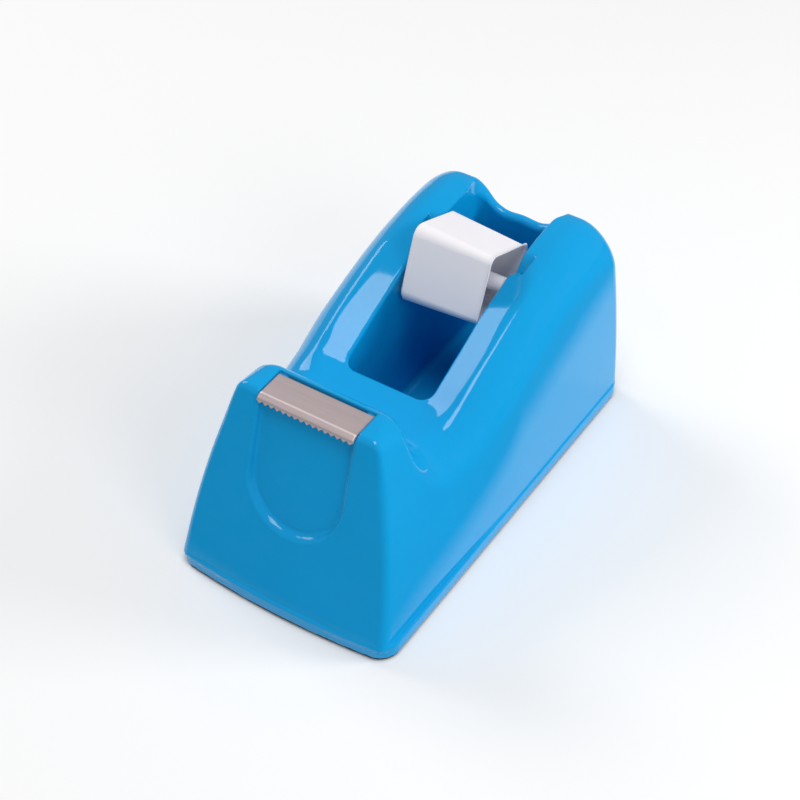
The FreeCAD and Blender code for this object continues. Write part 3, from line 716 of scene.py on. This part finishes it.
def make_mould_group():
    """Moulded plastic: slow flow marks in the colour, cloudy gloss, and a fine ripple in the skin."""
    group, given, result = new_group(
        "moulded_plastic",
        [("Colour", "Color", (0.5, 0.5, 0.5, 1.0)), ("Gloss", "Float", 0.2), ("Flow", "Float", 0.03),
         ("Ripple", "Float", 0.3)],
        [("Colour", "Color"), ("Roughness", "Float"), ("Height", "Float")])
    place = object_place(group)
    flow = noise(group, place, 55.0, 4.0, 0.55)
    lift = math_node(group, "MULTIPLY", math_node(group, "SUBTRACT", flow, 0.5), given.outputs["Flow"])
    tint = math_node(group, "ADD", math_node(group, "MULTIPLY", lift, 2.0), 1.0)
    group.links.new(shade(group, given.outputs["Colour"], tint), result.inputs["Colour"])
    cloud = remap(group, noise(group, place, 210.0, 5.0, 0.6), 0.35, 0.75, 0.0, 0.07)
    group.links.new(math_node(group, "ADD", given.outputs["Gloss"], cloud), result.inputs["Roughness"])
    skin = math_node(group, "ADD", noise(group, place, 420.0, 2.0, 0.4),
                     math_node(group, "MULTIPLY", noise(group, place, 3800.0, 2.0, 0.5), 0.12))
    group.links.new(math_node(group, "MULTIPLY", skin, given.outputs["Ripple"]), result.inputs["Height"])
    return group


def make_scuff_group():
    """Faint hairlines and smudges from handling, as a mask."""
    group, given, result = new_group("handling_marks", [("Amount", "Float", 0.5)], [("Mask", "Float")])
    place = object_place(group)
    bend = add_node(group, "VectorMath", operation="SCALE", Scale=0.004)
    cloud = add_node(group, "TexNoise", Scale=90.0, Detail=1.0)
    group.links.new(place, cloud.inputs["Vector"])
    group.links.new(cloud.outputs["Color"], bend.inputs[0])
    moved = add_node(group, "VectorMath", operation="ADD")
    group.links.new(place, moved.inputs[0])
    group.links.new(bend.outputs[0], moved.inputs[1])
    lines = add_node(group, "TexVoronoi", feature="DISTANCE_TO_EDGE", Scale=130.0)
    group.links.new(moved.outputs[0], lines.inputs["Vector"])
    hair = remap(group, lines.outputs["Distance"], 0.0, 0.012, 1.0, 0.0)
    patch = remap(group, noise(group, place, 75.0, 3.0, 0.6), 0.55, 0.72, 0.0, 1.0)
    mask = math_node(group, "MULTIPLY", math_node(group, "MULTIPLY", hair, patch), given.outputs["Amount"])
    group.links.new(mask, result.inputs["Mask"])
    return group


def make_drawn_group():
    """Rolled or brushed metal: long fine lines along one axis, in the colour, the gloss and the height."""
    group, given, result = new_group(
        "drawn_metal",
        [("Colour", "Color", (0.5, 0.5, 0.5, 1.0)), ("Gloss", "Float", 0.25), ("Contrast", "Float", 0.2)],
        [("Colour", "Color"), ("Roughness", "Float"), ("Height", "Float")])
    stretch = add_node(group, "Mapping", Scale=(0.03, 1.0, 1.0))
    group.links.new(object_place(group), stretch.inputs["Vector"])
    line = noise(group, stretch.outputs["Vector"], 5200.0, 3.0, 0.65)
    broad = noise(group, stretch.outputs["Vector"], 900.0, 2.0, 0.5)
    mixed = math_node(group, "ADD", math_node(group, "MULTIPLY", line, 0.6),
                      math_node(group, "MULTIPLY", broad, 0.4))
    centred = math_node(group, "MULTIPLY", math_node(group, "SUBTRACT", mixed, 0.5),
                        given.outputs["Contrast"])
    tint = math_node(group, "ADD", math_node(group, "MULTIPLY", centred, 2.0), 1.0)
    group.links.new(shade(group, given.outputs["Colour"], tint), result.inputs["Colour"])
    rough = math_node(group, "ADD", given.outputs["Gloss"], math_node(group, "MULTIPLY", mixed, 0.15))
    group.links.new(rough, result.inputs["Roughness"])
    group.links.new(mixed, result.inputs["Height"])
    return group


def new_material(name):
    """A material and its shader; the frame's own materials are named after its slots, so name differs."""
    material = bpy.data.materials.new(name)
    material.use_nodes = True
    return material, material.node_tree, material.node_tree.nodes["Principled BSDF"]


def place_group(tree, group, **values):
    """A node group in a tree, with its inputs set by name."""
    node = tree.nodes.new("ShaderNodeGroup")
    node.node_tree = group
    for key, value in values.items():
        node.inputs[key].default_value = value
    return node


def bump(tree, shader, height, strength, distance):
    """Feed a height to the shader's normal; distance is in metres."""
    node = add_node(tree, "Bump", Strength=strength, Distance=distance)
    tree.links.new(height, node.inputs["Height"])
    tree.links.new(node.outputs["Normal"], shader.inputs["Normal"])


def opaque(value):
    """A colour with full alpha."""
    return (*value, 1.0)


def plastic(name, base, gloss, flow, ripple, marks):
    """A moulded plastic, with its flow marks, skin ripple and handling marks."""
    material, tree, shader = new_material(name)
    mould = place_group(tree, bpy.data.node_groups["moulded_plastic"], Colour=opaque(base), Gloss=gloss,
                        Flow=flow, Ripple=ripple)
    scuff = place_group(tree, bpy.data.node_groups["handling_marks"], Amount=marks)
    tree.links.new(mould.outputs["Colour"], shader.inputs["Base Color"])
    rough = math_node(tree, "ADD", mould.outputs["Roughness"],
                      math_node(tree, "MULTIPLY", scuff.outputs["Mask"], 0.25))
    tree.links.new(rough, shader.inputs["Roughness"])
    height = math_node(tree, "SUBTRACT", mould.outputs["Height"],
                       math_node(tree, "MULTIPLY", scuff.outputs["Mask"], 0.2))
    bump(tree, shader, height, 0.35, 0.00006)
    shader.inputs["IOR"].default_value = 1.42
    return material


def steel(name, base, gloss, contrast, depth, metallic=1.0):
    """A drawn or rolled steel, with its lines along the strip."""
    material, tree, shader = new_material(name)
    drawn = place_group(tree, bpy.data.node_groups["drawn_metal"], Colour=opaque(base), Gloss=gloss,
                        Contrast=contrast)
    tree.links.new(drawn.outputs["Colour"], shader.inputs["Base Color"])
    tree.links.new(drawn.outputs["Roughness"], shader.inputs["Roughness"])
    bump(tree, shader, drawn.outputs["Height"], 0.3, depth)
    shader.inputs["Metallic"].default_value = metallic
    return material


def steel_with_painted_glints(name, base, crease):
    """The blade's brushed steel, with painted highlights: its colour is lightened in a band at the bend and
    in a band along the teeth.
    """
    material = steel(name, base, 0.3, 0.2, 0.00002, metallic=0.5)
    tree = material.node_tree
    shader = tree.nodes["Principled BSDF"]
    brushed = shader.inputs["Base Color"].links[0].from_socket
    split = add_node(tree, "SeparateXYZ")
    tree.links.new(object_place(tree), split.inputs[0])
    # Painted highlight: narrow bands at the crease and along the teeth, lightened in the base colour.
    away = math_node(tree, "ABSOLUTE", math_node(tree, "SUBTRACT", split.outputs["Y"], crease * MM), 0.0)
    bend = remap(tree, away, 0.00014, 0.0003, 1.0, 0.0)
    teeth_top = (BLADE_HIGH[2] - 0.85) * MM
    teeth_painted_glint = remap(tree, split.outputs["Z"], teeth_top - 0.0004, teeth_top, 1.0, 0.0)
    top_side = remap(tree, split.outputs["Z"], teeth_top - 0.0015, teeth_top - 0.0012, 0.0, 1.0)
    mask = math_node(tree, "MAXIMUM", bend, math_node(tree, "MULTIPLY", teeth_painted_glint, top_side))
    # The painted highlight lightens the brushed colour by up to 1.4 times inside the bands.
    tree.links.new(shade(tree, brushed, remap(tree, mask, 0.0, 1.0, 1.0, 1.4)), shader.inputs["Base Color"])
    return material


def foam(name, base):
    """Closed-cell foam: small round cells in the colour and the height."""
    material, tree, shader = new_material(name)
    cells = add_node(tree, "TexVoronoi", Scale=2600.0)
    tree.links.new(object_place(tree), cells.inputs["Vector"])
    tint = remap(tree, cells.outputs["Distance"], 0.0, 0.6, 0.6, 1.25)
    colour_node = add_node(tree, "RGB")
    colour_node.outputs[0].default_value = opaque(base)
    tree.links.new(shade(tree, colour_node.outputs[0], tint), shader.inputs["Base Color"])
    tree.links.new(remap(tree, cells.outputs["Distance"], 0.0, 0.6, 0.95, 0.8), shader.inputs["Roughness"])
    bump(tree, shader, cells.outputs["Distance"], 0.6, 0.0001)
    return material


def dress_node(node, material):
    """Give a design node a new finish in place of its own."""
    mesh = frame["nodes"][node].data
    mesh.materials.clear()
    mesh.materials.append(material)


# ---------------------------------------------------------------- operators

class DISPENSER_OT_finishes(bpy.types.Operator):
    """Build the shared finishes and dress the pieces inside the base"""
    bl_idname = "dispenser.finishes"
    bl_label = "Finishes"

    def execute(self, context):
        look = context.scene.dispenser_finish
        make_mould_group()
        make_scuff_group()
        make_drawn_group()
        plastic("sky_blue_plastic", look.shell, look.shell_gloss, 0.035, 0.25, 0.3)
        plastic("white_plastic", look.core, look.core_gloss, 0.02, 0.6, 0.3)
        plastic("black_plastic", look.plate, 0.5, 0.1, 1.0, 0.6)
        crease = FRONT + context.scene.dispenser_blade.crease / MM
        steel_with_painted_glints("painted_glint_blade_steel", look.blade, crease)
        steel("rolled_ballast_steel", look.ballast, 0.45, 0.5, 0.0001)
        steel("plated_screw_steel", (0.6, 0.58, 0.54), 0.25, 0.15, 0.00002)
        foam("closed_cell_foam", look.foam)
        dress_node("base_plate", bpy.data.materials["black_plastic"])
        dress_node("ballast_weight", bpy.data.materials["rolled_ballast_steel"])
        dress_node("base_screws", bpy.data.materials["plated_screw_steel"])
        return {"FINISHED"}


class DISPENSER_OT_shell(bpy.types.Operator):
    """Make the moulded shell with its head, valley, ears, well, slots, seat and scoop"""
    bl_idname = "dispenser.shell"
    bl_label = "Moulded shell"

    def execute(self, context):
        mesh = shell_mesh(millimetres(context.scene.dispenser_shell),
                          millimetres(context.scene.dispenser_blade))
        add_piece(mesh, "housing", bpy.data.materials["sky_blue_plastic"], ["body_shell"])
        return {"FINISHED"}


class DISPENSER_OT_blade(bpy.types.Operator):
    """Make the bent and toothed cutter blade"""
    bl_idname = "dispenser.blade"
    bl_label = "Cutter blade"

    def execute(self, context):
        m = millimetres(context.scene.dispenser_blade)
        piece = add_piece(blade_mesh(m), "housing", bpy.data.materials["painted_glint_blade_steel"],
                          ["cutter_blade"])
        solidify = piece.modifiers.new("thickness", "SOLIDIFY")
        solidify.thickness = m["thick"] * MM
        solidify.offset = 0.0
        crisp(piece, 25)
        return {"FINISHED"}


class DISPENSER_OT_core(bpy.types.Operator):
    """Make the white core: its drum, and the hub and web inside it"""
    bl_idname = "dispenser.core"
    bl_label = "Tape core"

    def execute(self, context):
        settings = context.scene.dispenser_core
        m = millimetres(settings)
        m["turn_angle"] = settings.turn
        white = bpy.data.materials["white_plastic"]
        drum = drum_mesh(m)
        hub = hub_mesh(m)
        for mesh in (drum, hub):
            weld(mesh)
        weighted(add_piece(drum, "core", white, ["tape_core"]))
        weighted(add_piece(hub, "core", white))
        return {"FINISHED"}


class DISPENSER_OT_axle(bpy.types.Operator):
    """Make the axle that lies in the two slots"""
    bl_idname = "dispenser.axle"
    bl_label = "Core axle"

    def execute(self, context):
        mesh = axle_mesh(millimetres(context.scene.dispenser_core))
        weighted(add_piece(mesh, "axle", bpy.data.materials["white_plastic"], ["core_axle"]))
        return {"FINISHED"}


class DISPENSER_OT_foot_pad(bpy.types.Operator):
    """Make the foam pad under the skirt"""
    bl_idname = "dispenser.foot_pad"
    bl_label = "Foot pad"

    def execute(self, context):
        mesh = pad_mesh(millimetres(context.scene.dispenser_shell))
        piece = add_piece(mesh, "housing", bpy.data.materials["closed_cell_foam"], ["foot_pad"])
        return {"FINISHED"}


# Each light's place in metres, its width and height, its power, and whether gloss mirrors it.
SOFTBOXES = [("key_overhead", (0.10, -0.12, 0.90), 0.42, 0.42, 3.3, True),
             ("front_right", (0.68, -0.30, 0.50), 0.35, 0.35, 1.2, False),
             ("back_right", (0.66, 0.38, 0.34), 0.30, 0.25, 2.6, False),
             ("left_side", (-0.62, 0.10, 0.50), 0.34, 0.42, 1.9, True)]


def aim(thing, target):
    """Turn a camera or a light so that it looks at a point."""
    thing.rotation_euler = (Vector(target) - thing.location).to_track_quat("-Z", "Y").to_euler()


def add_softbox(name, location, target, width, height, power, mirrored):
    """A soft rectangular light; one that isn't mirrored lights the pieces but shows in no gloss."""
    data = bpy.data.lights.new(name, "AREA")
    data.shape = "RECTANGLE"
    data.size, data.size_y = width, height
    data.energy = power
    lamp = bpy.data.objects.new(name, data)
    bpy.context.scene.collection.objects.link(lamp)
    lamp.location = location
    lamp.visible_glossy = mirrored
    aim(lamp, target)


def add_camera(settings):
    """The camera, turned about the aim point."""
    target = Vector((settings.aim_side, -settings.aim_forward, settings.aim_up))
    flat = math.cos(settings.elevation)
    away = Vector((math.sin(settings.azimuth) * flat, -math.cos(settings.azimuth) * flat,
                   math.sin(settings.elevation)))
    data = bpy.data.cameras.new("camera")
    data.lens = settings.lens
    data.clip_start = 0.01
    camera = bpy.data.objects.new("camera", data)
    bpy.context.scene.collection.objects.link(camera)
    camera.location = target + away * settings.distance
    aim(camera, target)
    bpy.context.scene.camera = camera


def lit_sheet(tree):
    """One on the part of the floor that stays bright in mirrored views, which ends in a slanted line beside
    the object and in a line before it, and zero beyond; beyond it the floor gets painted shade."""
    split = add_node(tree, "SeparateXYZ")
    tree.links.new(object_place(tree), split.inputs[0])
    limit = math_node(tree, "ADD", math_node(tree, "MULTIPLY", split.outputs["Y"], 0.18), 0.038)
    past = math_node(tree, "SUBTRACT", split.outputs["X"], limit)
    beside = remap(tree, past, -0.003, 0.003, 1.0, 0.0)
    return math_node(tree, "MULTIPLY", beside, remap(tree, split.outputs["Y"], -0.066, -0.056, 0.0, 1.0))


def add_floor(tint):
    """A wide, pale floor; in mirrored views its colour is painted dark outside a lit sheet, painted shade
    standing in for a studio's flags.
    """
    reach = 3000.0
    points = np.array([[-reach, -reach, 0], [reach, -reach, 0], [reach, reach, 0], [-reach, reach, 0]])
    mesh = new_mesh("floor", points, np.array([[0, 1, 2, 3]]))
    material, tree, shader = new_material("floor_paper")
    # Painted shade: in glossy rays the floor's colour is darkened outside the lit sheet.
    mirrored = add_node(tree, "LightPath").outputs["Is Glossy Ray"]
    painted_floor_shade = math_node(tree, "MULTIPLY", mirrored, math_node(tree, "SUBTRACT", 1.0, lit_sheet(tree)))
    pale = remap(tree, painted_floor_shade, 0.0, 1.0, 1.0, 0.12)
    paper = add_node(tree, "RGB")
    paper.outputs[0].default_value = opaque(tint)
    tree.links.new(shade(tree, paper.outputs[0], pale), shader.inputs["Base Color"])
    shader.inputs["Roughness"].default_value = 0.9
    shader.inputs["Specular IOR Level"].default_value = 0.1
    mesh.materials.append(material)
    floor = bpy.data.objects.new("floor", mesh)
    bpy.context.scene.collection.objects.link(floor)


class DISPENSER_OT_stage(bpy.types.Operator):
    """Set up the pale floor, the soft studio light and the camera"""
    bl_idname = "dispenser.stage"
    bl_label = "Stage"

    def execute(self, context):
        settings = context.scene.dispenser_stage
        add_camera(settings)
        add_floor(settings.floor)
        centre = (0.0, 0.0, 0.03)
        for name, place, width, height, power, mirrored in SOFTBOXES:
            add_softbox(name, place, centre, width, height, power, mirrored)
        world = bpy.data.worlds.new("studio")
        world.use_nodes = True
        world.node_tree.nodes["Background"].inputs["Color"].default_value = (1.0, 1.0, 1.0, 1.0)
        world.node_tree.nodes["Background"].inputs["Strength"].default_value = 0.25
        context.scene.world = world
        context.scene.view_settings.view_transform = "Standard"
        return {"FINISHED"}


STEPS = ["stage", "finishes", "shell", "blade", "core", "axle", "foot_pad"]


class DISPENSER_PT_panel(bpy.types.Panel):
    bl_idname = "DISPENSER_PT_panel"
    bl_label = "Tape dispenser"
    bl_space_type = "VIEW_3D"
    bl_region_type = "UI"
    bl_category = "Dispenser"

    def draw(self, context):
        for step in STEPS:
            self.layout.operator("dispenser." + step)
        for group in ("shell", "blade", "core", "finish", "stage"):
            settings = getattr(context.scene, "dispenser_" + group)
            box = self.layout.box()
            box.label(text=group.capitalize())
            for key in type(settings).__annotations__:
                box.prop(settings, key)


SETTINGS = {"shell": ShellSettings, "blade": BladeSettings, "core": CoreSettings, "finish": FinishSettings,
            "stage": StageSettings}
OPERATORS = [DISPENSER_OT_stage, DISPENSER_OT_finishes, DISPENSER_OT_shell, DISPENSER_OT_blade,
             DISPENSER_OT_core, DISPENSER_OT_axle, DISPENSER_OT_foot_pad]


def register():
    """Register the classes and hang the settings on the scene."""
    for kind in [*SETTINGS.values(), *OPERATORS, DISPENSER_PT_panel]:
        bpy.utils.register_class(kind)
    for name, kind in SETTINGS.items():
        setattr(bpy.types.Scene, "dispenser_" + name, PointerProperty(type=kind))


def unregister():
    """Undo register."""
    for name in SETTINGS:
        delattr(bpy.types.Scene, "dispenser_" + name)
    for kind in reversed([*SETTINGS.values(), *OPERATORS, DISPENSER_PT_panel]):
        bpy.utils.unregister_class(kind)


def main():
    """Make every piece in order."""
    register()
    for step in STEPS:
        getattr(bpy.ops.dispenser, step)()


if __name__ == "__main__":
    main()
